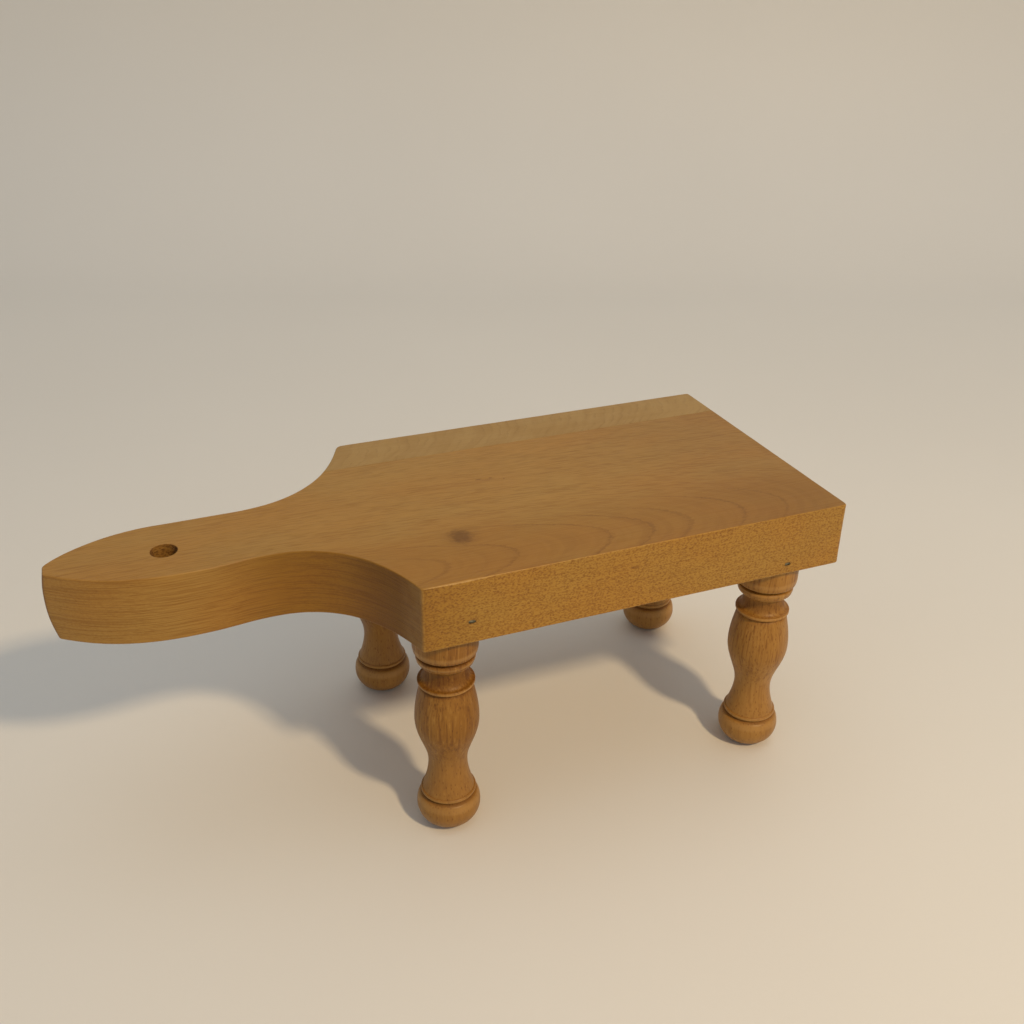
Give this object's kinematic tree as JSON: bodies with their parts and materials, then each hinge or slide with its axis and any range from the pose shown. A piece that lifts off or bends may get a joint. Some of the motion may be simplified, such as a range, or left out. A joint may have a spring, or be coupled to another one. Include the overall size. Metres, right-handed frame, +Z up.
{
  "type": "footed serving board",
  "caption": "Small paddle-shaped wooden board with a hanging hole in its handle, raised off the table on turned legs.",
  "frame": {"origin": "on the surface the feet stand on, under the middle of the bounding box", "axes": "+X from the handle's tip to the board's square end, +Y from the front long edge to the back one, where the narrow stave is, +Z up"},
  "size_m": [0.1856, 0.0784, 0.075],
  "materials": {
    "beech_board": "satin clear coat over straight-grained beech, with dark ray flecks on the long edges",
    "beech_edge_stave": "satin clear coat over beech with a faint cross figure",
    "beech_leg": "satin clear coat over turned beech, darker in the coves",
    "steel_brad": "dull, slightly tarnished wire"
  },
  "bodies": {
    "root": {"board_main_stave": "beech_board", "board_edge_stave": "beech_edge_stave", "leg_front_left": "beech_leg", "leg_front_right": "beech_leg", "leg_back_left": "beech_leg", "leg_back_right": "beech_leg", "brad_front_left": "steel_brad", "brad_front_right": "steel_brad", "brad_back_left": "steel_brad", "brad_back_right": "steel_brad"}
  },
  "joints": []
}
